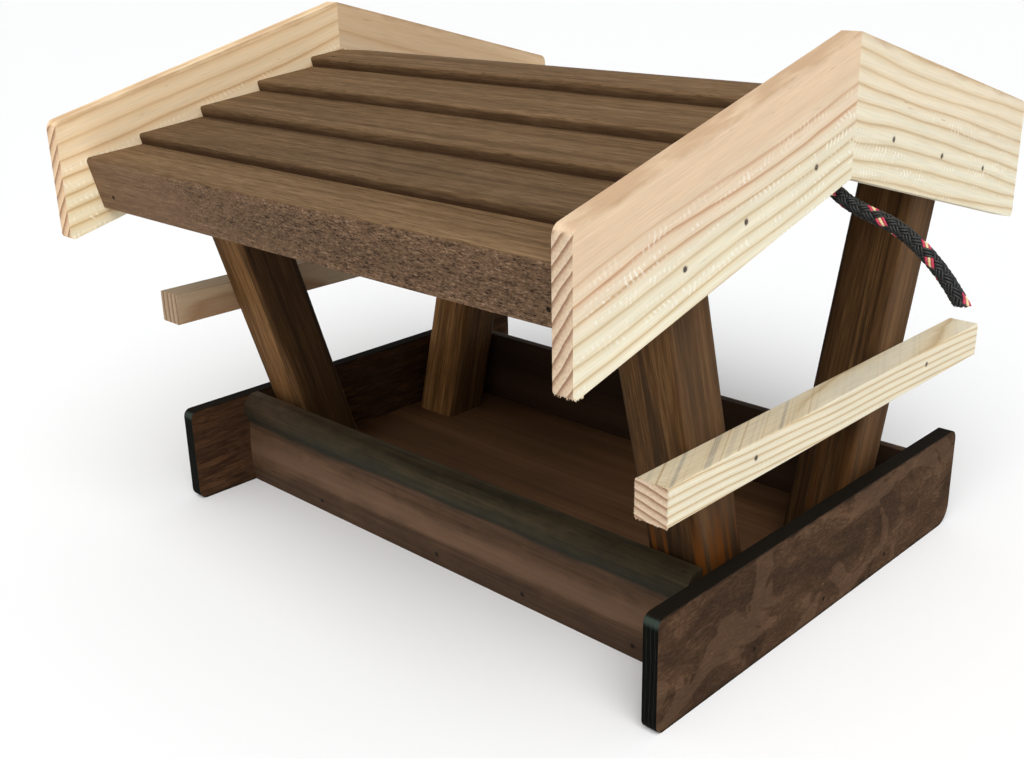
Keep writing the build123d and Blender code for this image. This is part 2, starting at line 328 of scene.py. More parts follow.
# ------------------------------------------------------------------ woods
def grain(shade, coords, scale):
    """Long streaks, fine fibres and short pores of a stained softwood, each from 0 to 1."""
    streaks = shade.noise(coords, (5 * scale, 150 * scale, 150 * scale), 4, 0.6, 0.4)
    fibres = shade.noise(coords, (22 * scale, 900 * scale, 900 * scale), 3, 0.6)
    pores = shade.noise(coords, (160 * scale, 1500 * scale, 1500 * scale), 2, 0.5)
    return streaks, fibres, pores


def stained_wood(shade, coords, dark, middle, light, scale):
    """Brown stain that sinks into the grain: returns the colour and a height for the bump."""
    streaks, fibres, pores = grain(shade, coords, scale)
    broad = shade.noise(coords, (3, 22, 22), 2)
    value = shade.math("MULTIPLY_ADD", fibres, 0.35, shade.math("MULTIPLY", streaks, 0.65))
    color = shade.ramp(value, [(0.3, dark), (0.5, middle), (0.7, light)])
    color = shade.gain(color, broad, 0.8, 1.2)
    color = shade.mix(shade.step(pores, 0.66, 0.78), color, dark)
    height = shade.math("MULTIPLY_ADD", fibres, 0.5, streaks)
    return color, height


def roof_board_material(name, side, tip, length_seed, rough_face, tone):
    """Board of the roof. tip is the lowest point of its upper face; rough_face is a sawn front."""
    shade = Shade(name, 0.85, 0.1)
    s = FRONT_REAR[side]
    down = slope_direction(s, ROOF_PITCH)
    origin = Vector(tip) + Vector((length_seed, 0, 0))
    coords, (along, across, through) = shade.local(origin, (1, 0, 0), down)
    streaks = shade.noise(coords, (4, 210, 210), 4, 0.6, 0.3)
    fibres = shade.noise(coords, (60, 1000, 1000), 3, 0.65)
    value = shade.math("MULTIPLY_ADD", fibres, 0.55, shade.math("MULTIPLY", streaks, 0.45))
    color = shade.ramp(
        value, [(0.3, srgb(76, 56, 36)), (0.5, srgb(107, 84, 59)), (0.7, srgb(138, 112, 84))])
    color = shade.gain(color, shade.noise(coords, (5, 26, 26), 3), 0.86, 1.14)
    dashes = shade.step(shade.noise(coords, (90, 900, 900), 2, 0.5), 0.62, 0.72)
    color = shade.tint(color, dashes, 0.5, srgb(52, 35, 22))
    ragged = shade.math("MULTIPLY_ADD", shade.noise(coords, (26, 60, 60), 3), 0.007, across)
    # painted shade in the groove under the lip of the board above, where the stain also pools darker
    lap_line, lap_shade_full = -0.0405, -0.0445
    lap_shade = shade.step(ragged, lap_line, lap_shade_full)
    color = shade.tint(color, lap_shade, 0.5, srgb(58, 38, 23))
    # painted shade on the risers that face down the slope, faint all over and deep on their lower part,
    # with a ragged upper edge
    riser = shade.step(shade.facing(down), 0.35, 0.9)
    wear_and_painted_light = shade.math("MULTIPLY", shade.noise(coords, (24, 60, 60), 3), 0.006)
    rise = shade.math("MULTIPLY_ADD", through, float(s), wear_and_painted_light)
    riser_shade_top, riser_shade_full = 0.0078, 0.0035
    foot = shade.math("MULTIPLY_ADD", shade.step(rise, riser_shade_top, riser_shade_full), 0.6, 0.05)
    color = shade.tint(color, riser, foot, srgb(60, 38, 22))
    color = shade.mix(1.0, color, (tone, tone * 0.98, tone * 0.95, 1), "MULTIPLY")
    height = shade.math("MULTIPLY_ADD", fibres, 0.9, streaks)
    if rough_face:
        sawn = shade.noise(coords, (460, 1200, 1200), 3, 0.7)
        torn = shade.noise(coords, (190, 720, 720), 4, 0.75)
        chips = shade.math("MULTIPLY_ADD", torn, 0.5, shade.math("MULTIPLY", sawn, 0.5))
        plain = shade.ramp(
            value, [(0.3, srgb(84, 64, 48)), (0.5, srgb(112, 88, 66)), (0.7, srgb(134, 108, 84))])
        speckle = shade.ramp(chips, [
            (0.4, srgb(42, 30, 21)), (0.48, srgb(94, 72, 53)),
            (0.55, srgb(110, 86, 65)), (0.66, srgb(156, 130, 106))])
        speckle = shade.gain(speckle, shade.noise(coords, (7, 80, 80), 3), 0.8, 1.15)
        patchy = shade.math("MULTIPLY_ADD", shade.noise(coords, (14, 34, 34), 3), 0.2, along)
        rough = shade.step(patchy, -0.1 - length_seed, 0.12 - length_seed)
        speckle = shade.mix(rough, shade.gain(plain, chips, 0.88, 1.12), speckle)
        color = shade.mix(riser, color, speckle)
        rough = shade.math("MULTIPLY", riser, rough)
        height = shade.mix(rough, height, shade.math("MULTIPLY", chips, 3.0))
    return shade.finish(color, height, 0.0004)


def post_material(name, foot, axis, seed, amber, tone):
    """Streaked brown post; amber is how much of the raw yellow wood shows near the floor."""
    shade = Shade(name, 0.78, 0.1)
    g = 1 if foot[0] > 0 else -1
    coords, (along, _, _) = shade.local(Vector(foot) + Vector((seed, 0, 0)), axis, (1, 0, 0))
    streaks = shade.noise(coords, (4, 130, 130), 4, 0.6, 0.5)
    fibres = shade.noise(coords, (40, 1000, 1000), 3, 0.65)
    value = shade.math("MULTIPLY_ADD", fibres, 0.45, shade.math("MULTIPLY", streaks, 0.55))
    color = shade.ramp(
        value, [(0.34, srgb(46, 29, 12)), (0.5, srgb(82, 56, 29)), (0.66, srgb(118, 86, 52))])
    color = shade.gain(color, shade.noise(coords, (2.6, 60, 60), 3, 0.5, 0.5), 0.7, 1.25)
    vein = shade.noise(coords, (5, 105, 105), 2, 0.5, 0.6)
    color = shade.tint(color, shade.step(vein, 0.57, 0.64), 0.6, srgb(36, 25, 14))
    pores = shade.step(shade.noise(coords, (170, 1300, 1300), 2, 0.5), 0.66, 0.76)
    color = shade.tint(color, pores, 0.6, srgb(34, 22, 13))
    # painted light: the side that faces out of the house is lightened
    outer = shade.step(shade.facing((g, 0, 0)), 0.75, 0.97)
    wear_and_painted_light = shade.gain(srgb(140, 110, 84), streaks, 0.6, 1.3)
    color = shade.tint(color, outer, 0.2, wear_and_painted_light)
    stripes = shade.step(shade.noise(coords, (3, 190, 190), 1), 0.49, 0.6)
    amber_top, amber_full = 0.1, 0.055
    low = shade.step(along, amber_top, amber_full)
    color = shade.tint(color, low, amber * 0.75, srgb(42, 25, 11))
    color = shade.tint(color, shade.math("MULTIPLY", stripes, low), amber, srgb(110, 62, 16))
    # tone sets the stain's brightness and also paints light onto the posts that stand in the house's
    # shade
    color = shade.mix(1.0, color, (tone, tone, tone, 1), "MULTIPLY")
    # painted shade: the side that faces into the house is darkened
    inward_shade = shade.step(shade.facing((-g, 0, 0)), 0.45, 0.9)
    color = shade.tint(color, inward_shade, 0.7, srgb(28, 16, 7))
    height = shade.math("MULTIPLY_ADD", fibres, 0.7, streaks)
    return shade.finish(color, height, 0.0004)


def pine_material(name, origin, along, across, ring, pith_angle, warm, seed, lines, marks=0.6,
                  stained_edge=False, weathered=False, tone=1.0, nails=()):
    """Bare planed pine with growth rings. across points up its face and ring is the rings' spacing.

    pith_angle turns the rings between the face and the thickness, warm is how pink the heart side
    is, lines how clear the rings are, marks how white the planer's marks are, and tone darkens and
    warms the whole board. stained_edge browns the upper edge, weathered greys the upper side near
    the front end, and nails are the centres of the nail heads in the face.
    """
    shade = Shade(name, 0.62, 0.22)
    coords, (u, v, w) = shade.local(origin, along, across)
    offset = shade.vector("ADD", coords, (seed, seed, seed))
    wander = shade.noise(offset, (4, 14, 14), 2, 0.5)
    wobble = shade.noise(offset, (30, 150, 150), 2, 0.5)
    angle = math.radians(pith_angle)
    rings = shade.math("MULTIPLY_ADD", v, math.cos(angle), shade.math("MULTIPLY", w, math.sin(angle)))
    rings = shade.math("MULTIPLY_ADD", wander, 0.013, rings)
    rings = shade.math("MULTIPLY_ADD", wobble, 0.0009, rings)
    year = shade.math("FRACT", shade.math("DIVIDE", rings, ring))
    cream, straw, tan = srgb(230, 222, 198), srgb(222, 206, 172), srgb(190, 162, 118)
    color = shade.ramp(
        year, [(0.0, straw), (0.25, cream), (0.5, cream), (0.76, straw), (0.92, tan), (1.0, straw)])
    faint = shade.step(shade.noise(offset, (3, 60, 60), 2), 0.6, 0.38)
    color = shade.tint(color, faint, 1 - lines, srgb(226, 216, 190))
    color = shade.mix(0.25 * (1 - lines), color, srgb(226, 216, 190))
    pink_low, pink, pink_line = srgb(222, 196, 166), srgb(226, 206, 180), srgb(186, 140, 104)
    pinks = shade.ramp(
        year, [(0.0, pink_low), (0.3, pink), (0.7, pink_low), (0.92, pink_line), (1.0, pink_low)])
    pinks = shade.mix(shade.step(v, 0.004, 0.02), pinks, srgb(220, 192, 160))
    heart = shade.math("MULTIPLY_ADD", shade.noise(offset, (6, 40, 40)), 0.03, v)
    heart = shade.math("MULTIPLY", shade.step(heart, 0.0, 0.026), warm)
    color = shade.mix(heart, color, pinks)
    fibres = shade.noise(offset, (40, 1200, 1200), 3, 0.6)
    color = shade.gain(color, fibres, 0.9, 1.07)
    color = shade.gain(color, shade.noise(offset, (7, 50, 50), 3), 0.93, 1.05)
    planer_pitch = 0.0036
    beat = shade.math("DIVIDE", u, planer_pitch)
    beat = shade.math("MULTIPLY_ADD", shade.noise(offset, (25, 110, 110), 2), 3.0, beat)
    beat = shade.math("ABSOLUTE", shade.math("SUBTRACT", shade.math("FRACT", beat), 0.5))
    rows = shade.step(shade.noise(offset, (12, 230, 230), 2, 0.5), 0.47, 0.64)
    rows = shade.math("MULTIPLY", rows, shade.step(shade.noise(offset, (120, 300, 300), 2), 0.42, 0.6))
    rows = shade.math("MULTIPLY", rows, shade.step(v, 0.016, 0.002))
    chatter = shade.math("MULTIPLY", shade.step(beat, 0.2, 0.46), rows)
    color = shade.tint(color, chatter, marks, srgb(250, 247, 236))
    scuffs = shade.step(shade.noise(offset, (60, 700, 700), 2, 0.6), 0.71, 0.77)
    color = shade.tint(color, scuffs, 0.6, srgb(168, 130, 96))
    if weathered:
        slanted = shade.math("MULTIPLY_ADD", u, 0.5, w)
        bands = shade.noise(shade.combine(slanted, 0.0, 0.0), (230, 1, 1), 3, 0.6)
        grey, sand, brown = srgb(162, 154, 138), srgb(212, 196, 164), srgb(170, 138, 92)
        top_look = shade.ramp(bands, [(0.36, grey), (0.48, sand), (0.56, sand), (0.66, brown)])
        top_look = shade.gain(top_look, fibres, 0.86, 1.1)
        near = shade.math("MULTIPLY_ADD", shade.noise(offset, (20, 20, 20)), 0.06, u)
        least_grey, more_grey = 0.2, 0.65
        near = shade.math("MULTIPLY_ADD", shade.step(near, 0.04, -0.03), more_grey, least_grey)
        upper = shade.step(shade.facing((0, 0, 1)), 0.6, 0.85)
        color = shade.tint(color, upper, near, top_look)
    cut_end = shade.step(shade.math("ABSOLUTE", shade.facing(Vector(along).normalized())), 0.6, 0.85)
    end_light, end_mid, end_dark = srgb(208, 186, 160), srgb(194, 168, 140), srgb(146, 112, 86)
    end_rings = shade.ramp(
        year, [(0.0, end_light), (0.5, end_mid), (0.82, end_dark), (0.93, end_dark), (1.0, end_light)])
    end_rings = shade.gain(end_rings, shade.noise(offset, (800, 800, 800), 2), 0.84, 1.12)
    color = shade.mix(cut_end, color, end_rings)
    if stained_edge:
        stain = shade.math("MULTIPLY_ADD", shade.noise(offset, (30, 90, 90), 3), 0.012, v)
        stain_line, stain_full = 0.037, 0.0415
        stain = shade.step(stain, stain_line, stain_full)
        color = shade.tint(color, stain, 0.5, srgb(164, 122, 82))
    if tone != 1.0:
        color = shade.mix(1.0, color, (tone, tone * 0.93, tone * 0.83, 1), "MULTIPLY")
    color = bruise(shade, color, nails, 0.0016, srgb(132, 104, 72), 0.7)
    height = shade.math("MULTIPLY_ADD", year, 0.3, shade.math("MULTIPLY_ADD", fibres, 0.5, chatter))
    return shade.finish(color, height, 0.00025)


def rail_material(name, side):
    """Moulded rail: green-grey bead, a cove darkened by painted shade and a pinkish brown face below
    it.
    """
    s = FRONT_REAR[side]
    shade = Shade(name, 0.75, 0.14)
    coords, (along, up, _) = shade.local((0.3 * s, 0, 0), (1, 0, 0), (0, 0, 1))
    dark, middle, light = srgb(46, 31, 19), srgb(72, 52, 36), srgb(96, 72, 52)
    face, height = stained_wood(shade, coords, dark, middle, light, 0.6)
    mottle = shade.noise(coords, (45, 80, 80), 4, 0.65, 0.6)
    face = shade.gain(face, mottle, 0.72, 1.25)
    # painted highlight on the band of the face that tilts up towards the light
    ridge = shade.math("MULTIPLY_ADD", shade.noise(coords, (16, 16, 16), 2), 0.012, up)
    painted_highlight = shade.math("MULTIPLY", shade.step(ridge, 0.022, 0.03), shade.step(ridge, 0.044, 0.032))
    face = shade.tint(face, painted_highlight, 0.45, srgb(118, 90, 70))
    # painted shade on the lowest part of the face, which turns downward
    foot = shade.step(up, 0.018, 0.006)
    face = shade.tint(face, foot, 0.3, srgb(50, 34, 22))
    dark, middle, light = srgb(30, 26, 14), srgb(53, 44, 27), srgb(76, 66, 44)
    bead, _ = stained_wood(shade, coords, dark, middle, light, 0.7)
    dark, middle, light = srgb(42, 30, 20), srgb(64, 47, 33), srgb(84, 65, 48)
    brown, _ = stained_wood(shade, coords, dark, middle, light, 0.7)
    greener = shade.math("MULTIPLY_ADD", shade.noise(coords, (9, 20, 20)), 0.2, along)
    greener = shade.step(greener, 0.12, 0.34)
    bead = shade.mix(greener, brown, bead)
    bead = shade.gain(bead, mottle, 0.6, 1.35)
    # painted shade on the bead's lower part, where it turns under into the cove
    under = shade.math("MULTIPLY_ADD", shade.noise(coords, (16, 60, 60)), 0.014, up)
    under = shade.step(under, 0.068, 0.055)
    bead = shade.tint(bead, under, 0.7, srgb(27, 29, 20))
    line = shade.math("MULTIPLY_ADD", shade.noise(coords, (9, 0, 0), 2), 0.014, up)
    line = shade.math("MULTIPLY_ADD", along, -0.008, line)
    face_top, bead_foot = 0.0475, 0.052
    color = shade.mix(shade.step(line, face_top, bead_foot), face, bead)
    # painted shade: the side that faces into the tray is darkened
    inward_shade = shade.step(shade.facing((0, s, 0)), 0.0, -0.4)
    color = shade.tint(color, inward_shade, 0.75, srgb(48, 31, 19))
    spots = [spot for spot in nail_heads("rail_nails", 1) if spot.y * s > 0]
    color = bruise(shade, color, spots, 0.0016, srgb(12, 9, 7), 0.9)
    return shade.finish(color, height, 0.0003)


def plywood_material(name, side_x, rough):
    """End board: mottled brown veneers with blackened, layered edges and one pale worn corner.

    side_x is -1 at the left and 1 at the right, and rough is how much of the veneer is ribbed.
    """
    shade = Shade(name, 0.84, 0.06)
    seed = 0.1 * side_x
    coords, (along, up, through) = shade.local((0, seed, 0), (0, 1, 0), (0, 0, 1))
    fibres = shade.noise(coords, (260, 760, 760), 3, 0.65)
    streaks = shade.noise(coords, (30, 90, 90), 4, 0.65, 0.8)
    value = shade.math("MULTIPLY_ADD", fibres, 0.55, shade.math("MULTIPLY", streaks, 0.45))
    veneer = shade.ramp(
        value, [(0.32, srgb(45, 31, 19)), (0.5, srgb(67, 48, 33)), (0.68, srgb(94, 70, 50))])
    blotch = shade.noise(coords, (11, 17, 17), 4, 0.6, 1.0)
    veneer = shade.gain(veneer, shade.step(blotch, 0.42, 0.6), 0.8, 1.2)
    island = shade.step(shade.noise(coords, (15, 24, 24), 3, 0.55, 1.4), 0.54, 0.57)
    veneer = shade.tint(veneer, island, 0.3, srgb(110, 84, 64))
    specks = shade.step(shade.noise(coords, (330, 330, 330), 2, 0.6), 0.71, 0.76)
    veneer = shade.tint(veneer, specks, 0.6, srgb(142, 112, 80))
    waves = shade.noise(coords, (34, 340, 340), 3, 0.6, 1.2)
    bands = shade.step(shade.noise(coords, (60, 12, 12), 2), 0.4, 0.6)
    ribs = shade.mix(shade.step(waves, 0.4, 0.62), srgb(44, 27, 15), srgb(84, 57, 36))
    ribs = shade.tint(ribs, bands, 0.5, srgb(60, 40, 26))
    color = shade.mix(rough, veneer, ribs)
    edge = shade.step(shade.math("ABSOLUTE", shade.facing((1, 0, 0))), 0.75, 0.5)
    wavy = shade.math("MULTIPLY", shade.noise(coords, (40, 40, 40), 2), 0.002)
    ply_thickness = 0.0026
    plies = shade.math("DIVIDE", shade.math("ADD", through, wavy), ply_thickness)
    plies = shade.math("FRACT", plies)
    soot, seam = srgb(6, 7, 4), srgb(30, 32, 25)
    black = shade.ramp(plies, [(0.0, soot), (0.5, soot), (0.66, seam), (0.8, soot), (1.0, soot)])
    black = shade.gain(black, shade.noise(coords, (140, 140, 900)), 0.5, 1.3)
    flat = shade.step(shade.facing((0, 0, 1)), 0.75, 0.9)
    black = shade.tint(black, flat, 0.8, srgb(26, 19, 13))
    color = shade.mix(edge, color, black)
    near_end = shade.step(along, -0.1455 - seed, -0.1495 - seed)
    near_top = shade.math("MULTIPLY", shade.step(up, 0.0575, 0.061), shade.step(up, 0.0635, 0.062))
    wear_and_painted_light = shade.math("MULTIPLY", shade.math("MULTIPLY", near_end, near_top), edge)
    color = shade.tint(color, wear_and_painted_light, 0.35, srgb(84, 96, 88))
    rim = shade.math("MULTIPLY_ADD", shade.noise(coords, (90, 90, 90)), 0.004, up)
    rim_dark = shade.math("MAXIMUM", shade.step(rim, 0.0642, 0.0658), shade.step(rim, 0.0045, 0.002))
    color = shade.tint(color, rim_dark, 0.7, srgb(22, 18, 12))
    spots = [spot for spot in nail_heads("end_board_nails", 0) if spot.x * side_x > 0]
    color = bruise(shade, color, spots, 0.0013, srgb(26, 19, 13), 0.8)
    height = shade.math("MULTIPLY_ADD", waves, rough, shade.math("ADD", fibres, streaks))
    return shade.finish(color, height, 0.0004)


def floor_material(name):
    """Tray floor: plain dark brown plywood."""
    shade = Shade(name, 0.75, 0.15)
    coords, _ = shade.local((0, 0, 0), (1, 0, 0), (0, 1, 0))
    dark, middle, light = srgb(80, 55, 34), srgb(98, 69, 44), srgb(115, 85, 57)
    color, height = stained_wood(shade, coords, dark, middle, light, 0.5)
    blotch = shade.noise(coords, (9, 14, 14), 3, 0.6, 0.8)
    color = shade.gain(color, blotch, 0.88, 1.14)
    return shade.finish(color, height, 0.0002)


def plain_wood_material(name, axis, across, seed):
    """Hidden roof frame: softwood with a thin brown wash."""
    shade = Shade(name, 0.75, 0.2)
    coords, _ = shade.local((seed, seed, seed), axis, across)
    dark, middle, light = srgb(88, 62, 40), srgb(124, 94, 64), srgb(154, 122, 88)
    color, height = stained_wood(shade, coords, dark, middle, light, 0.7)
    return shade.finish(color, height, 0.0003)


def nail_material(name, dark, light, roughness, specular):
    """Dull steel with fine darker spots."""
    shade = Shade(name, roughness, specular)
    spots = shade.noise(shade.place(), (900, 900, 900), 3)
    color = shade.ramp(spots, [(0.35, dark), (0.65, light)])
    return shade.finish(color, spots, 0.0001)


def paint_woods():
    """Gives every board, bar and nail its material; no two boards share a piece of wood."""
    for side, s in FRONT_REAR.items():
        names = [f"{side}_eave_board"] + [f"{side}_roof_board_{i}" for i in (1, 2, 3, 4)]
        for i, node in enumerate(names):
            low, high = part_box(node)
            tip_y = high.y if s > 0 else low.y
            tip_z = low.z + EAVE_RISE if i == 0 else low.z
            tone = ROOF_TONES[i]
            assign(node, roof_board_material(
                f"{node}_wood", side, (0, tip_y, tip_z), 0.37 * i + 0.2 * s, i == 0, tone))
        for gable, g in LEFT_RIGHT.items():
            slope = slope_direction(s, ROOF_PITCH)
            assign(f"{side}_{gable}_rafter", plain_wood_material(
                f"{side}_{gable}_rafter_wood", slope, (1, 0, 0), 0.3 * s + 0.1 * g))
    assign("ridge_batten", plain_wood_material("ridge_batten_wood", (1, 0, 0), (0, 1, 0), 0.5))

    # corner: lean in degrees, raw yellow wood at the foot, brightness of the stain, which on the left
    # posts is raised as painted light against the shade under the roof
    post_looks = {
        ("front", "left"): (17.0, 0.1, 1.4),
        ("front", "right"): (14.5, 0.9, 0.85),
        ("rear", "left"): (14.0, 0.0, 2.7),
        ("rear", "right"): (16.5, 0.2, 0.85),
    }
    for (side, gable), (degrees, amber, tone) in post_looks.items():
        s, g = FRONT_REAR[side], LEFT_RIGHT[gable]
        tilt = math.radians(degrees)
        axis = (0, s * math.sin(tilt), math.cos(tilt))
        node = f"{side}_{gable}_post"
        low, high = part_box(node)
        foot = (low.x, low.y if s > 0 else high.y, low.z)
        assign(node, post_material(f"{node}_wood", foot, axis, 0.23 * s + 0.41 * g, amber, tone))

    for side in FRONT_REAR:
        assign(f"{side}_rail", rail_material(f"{side}_rail_wood", side))
    assign("left_end_board", plywood_material("left_end_board_plywood", -1, 0.75))
    assign("right_end_board", plywood_material("right_end_board_plywood", 1, 0.0))
    assign("tray_floor", floor_material("tray_floor_plywood"))

    barge_spots = nail_heads("bargeboard_nails", 0)
    perch_spots = nail_heads("perch_nails", 0)
    # ring spacing, turn of the rings, pink of the heart side, seed, clearness of the rings, brightness
    looks = {
        ("front", "right"): (0.0044, 52, 0.95, 0.3, 0.75, 1.0),
        ("rear", "right"): (0.0056, 48, 0.3, 1.9, 0.8, 1.0),
        ("front", "left"): (0.0066, 50, 0.5, 3.1, 0.95, 1.2),
        ("rear", "left"): (0.0090, 40, 0.8, 4.6, 0.7, 0.95),
    }
    for (side, gable), (ring, turn, warm, seed, lines, tone) in looks.items():
        s, g = FRONT_REAR[side], LEFT_RIGHT[gable]
        pitch = BARGE_PITCH[gable]
        along = slope_direction(s, pitch)
        across = Vector((0, s * math.sin(pitch), math.cos(pitch)))
        node = f"{side}_{gable}_bargeboard"
        low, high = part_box(node)
        apex = Vector((low.x, 0, high.z))
        middle = apex - across * (BARGE_WIDTH / 2)
        assign(node, pine_material(
            f"{node}_pine", middle, along, across, ring, turn, warm, seed, lines,
            stained_edge=True, tone=tone,
            nails=[spot for spot in barge_spots if spot.x * g > 0 and spot.y * s > 0]))

    assign("right_perch", pine_material(
        "right_perch_pine", box_middle("right_perch"), (0, 1, -0.03), (0, 0.03, 1),
        ring=0.0042, pith_angle=8, warm=0.1, seed=5.2, lines=1.0, marks=0.15, weathered=True,
        nails=[spot for spot in perch_spots if spot.x > 0]))
    assign("left_perch", pine_material(
        "left_perch_pine", box_middle("left_perch"), (0, 1, 0), (1, 0, 0.2),
        ring=0.0050, pith_angle=10, warm=0.9, seed=7.7, lines=0.8, marks=0.1, tone=0.64,
        nails=[spot for spot in perch_spots if spot.x < 0]))

    steel = nail_material(
        "nail_steel", srgb(38, 30, 24), srgb(88, 74, 60), roughness=0.5, specular=0.4)
    stained = nail_material(
        "stained_nail_steel", srgb(24, 17, 11), srgb(44, 32, 22), roughness=0.85, specular=0.05)
    for node in ("bargeboard_nails", "perch_nails", "rope_staples"):
        assign(node, steel)
    for job in ("rail", "end_board", "post", "rafter", "roof", "eave"):
        assign(f"{job}_nails", stained)


# ------------------------------------------------------------------ torn fibres
TRIANGLE = (0.0, 2.1, 4.2)  # angles of a three-sided fibre's corners
SPLINTER_ROOT = 0.0006      # how deep a sliver starts inside the wood


def make_piece(name, mesh, materials):
    """Object of a finished bmesh, with all its faces turned outward."""
    bmesh.ops.recalc_face_normals(mesh, faces=mesh.faces)
    data = bpy.data.meshes.new(name)
    mesh.to_mesh(data)
    mesh.free()
    for material in materials:
        data.materials.append(material)
    piece = bpy.data.objects.new(name, data)
    bpy.context.collection.objects.link(piece)
    return piece


def splinters(name, edges, count, reach, material, seed):
    """Slivers of torn wood along the saw-cut edges of a board's end.

    edges lists the two ends of each edge and the direction in which its fibres stick out.
    """
    draw = random.Random(seed)
    mesh = bmesh.new()
    for start, end, outward in edges:
        start, end, outward = Vector(start), Vector(end), Vector(outward).normalized()
        line = (end - start).normalized()
        third = outward.cross(line)
        for _ in range(count):
            foot = start.lerp(end, draw.random())
            width = draw.uniform(0.0003, 0.0009)
            tip = foot + outward * draw.uniform(0.25, 1.0) * reach
            tip += line * draw.uniform(-0.5, 0.5) * width
            tip += third * draw.uniform(-0.3, 0.3) * reach
            root = foot - outward * SPLINTER_ROOT
            base = [root + line * (width * math.cos(a)) + third * (0.4 * width * math.sin(a))
                    for a in TRIANGLE]
            corners = [mesh.verts.new(p) for p in (*base, tip)]
            mesh.faces.new(corners[:3])
            for i in range(3):
                mesh.faces.new((corners[i], corners[(i + 1) % 3], corners[3]))
    piece = make_piece(name, mesh, [material])
    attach(piece, ROOT)


def torn_ends():
    """Rough edges where the saw left the front end of the right perch and the right bargeboard."""
    low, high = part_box("right_perch")
    front = low.y + 0.0004
    pine = CAD["right_perch"].material_slots[0].material
    bottom_in, bottom_out = (low.x, front, low.z), (high.x, front, low.z)
    top_in, top_out = (low.x, front, high.z), (high.x, front, high.z)
    splinters("right_perch_fibres", [
        (bottom_in, bottom_out, (0, -0.5, -1)),
        (bottom_out, top_out, (1, -0.8, 0)),
        (bottom_in, top_in, (-1, -0.8, 0)),
        (top_in, top_out, (0, -0.5, 1)),
    ], count=26, reach=0.0009, material=pine, seed=3)
    low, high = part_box("front_right_bargeboard")
    pine = CAD["front_right_bargeboard"].material_slots[0].material
    under = low.z + 0.0006
    front, back = low.y + 0.001, low.y + 0.006
    splinters("front_right_bargeboard_fibres", [
        ((low.x, low.y + 0.0008, under), (high.x, low.y + 0.0008, under), (0, -0.4, -1)),
        ((high.x, front, under), (high.x, back, under), (0.6, 0, -1)),
    ], count=16, reach=0.0011, material=pine, seed=5)


# ------------------------------------------------------------------ rope
ROPE_RADIUS = 0.004
STRANDS = 4                 # strands that run each way round
LAY = 0.031                 # length in which a strand goes once round
LAY_SHIFT = 0.013           # where along its lay the pattern starts
CUT_REACH = 0.006           # length over which a tail's end leans into its level cut
RIGHT_TAIL = [
    (0.1440, 0, 0.2519), (0.1580, 0, 0.2519), (0.1725, 0, 0.2483), (0.1850, 0, 0.2412),
    (0.1960, 0, 0.2333), (0.2090, 0, 0.2290), (0.2220, 0, 0.2256), (0.2340, 0, 0.2190),
    (0.2450, 0, 0.2102), (0.2545, 0, 0.2003), (0.2604, 0, 0.1922),
]
LEFT_TAIL = [
    (-0.1440, 0, 0.2519), (-0.1580, 0, 0.2519), (-0.1750, 0.0010, 0.2460), (-0.1920, 0.0020, 0.2395),
    (-0.2080, 0.0020, 0.2315), (-0.2220, 0.0010, 0.2220), (-0.2340, -0.0010, 0.2110),
    (-0.2430, -0.0030, 0.1985), (-0.2490, -0.0060, 0.1845),
]
HELD = [(-0.1440, 0, 0.2519), (-0.05, 0, 0.2519), (0.05, 0, 0.2519), (0.1440, 0, 0.2519)]


def nurbs_line(points):
    """Points along a smooth NURBS curve through a route."""
    curve = bpy.data.curves.new("route", "CURVE")
    curve.dimensions = "3D"
    curve.resolution_u = 24
    spline = curve.splines.new("NURBS")
    spline.points.add(len(points) - 1)
    for point, place in zip(spline.points, points):
        point.co = (*place, 1)
    spline.order_u = 3
    spline.use_endpoint_u = True
    holder = bpy.data.objects.new("route", curve)
    bpy.context.collection.objects.link(holder)
    bpy.context.view_layer.update()
    mesh = bpy.data.meshes.new_from_object(holder)
    line = [v.co.copy() for v in mesh.vertices]
    bpy.data.objects.remove(holder)
    bpy.data.meshes.remove(mesh)
    return line


def even_points(line, spacing):
    """The same line with evenly spaced points."""
    lengths = [0.0]
    for a, b in zip(line, line[1:]):
        lengths.append(lengths[-1] + (b - a).length)
    count = max(2, round(lengths[-1] / spacing))
    result, k = [], 0
    for i in range(count + 1):
        s = lengths[-1] * i / count
        while k < len(line) - 2 and lengths[k + 1] < s:
            k += 1
        span = lengths[k + 1] - lengths[k]
        result.append(line[k].lerp(line[k + 1], (s - lengths[k]) / span if span else 0))
    return result, lengths[-1]


def frames_along(points):
    """Tangent and two normals at each point, carried along without twist."""
    tangents = []
    for i in range(len(points)):
        a, b = points[max(i - 1, 0)], points[min(i + 1, len(points) - 1)]
        tangents.append((b - a).normalized())
    normal = Vector((0, 0, 1)) - tangents[0] * tangents[0].z
    normal.normalize()
    result = []
    for tangent in tangents:
        normal = (normal - tangent * normal.dot(tangent)).normalized()
        result.append((tangent, normal, tangent.cross(normal)))
    return result


def add_tube(mesh, rings, slot):
    """Joins rings of points into a closed tube of one material slot."""
    loops = [[mesh.verts.new(p) for p in ring] for ring in rings]
    count = len(loops[0])
    faces = []
    for a, b in zip(loops, loops[1:]):
        for k in range(count):
            n = (k + 1) % count
            faces.append(mesh.faces.new((a[k], a[n], b[n], b[k])))
    faces.append(mesh.faces.new(loops[0][::-1]))
    faces.append(mesh.faces.new(loops[-1]))
    for face in faces:
        face.material_index = slot
        face.smooth = True


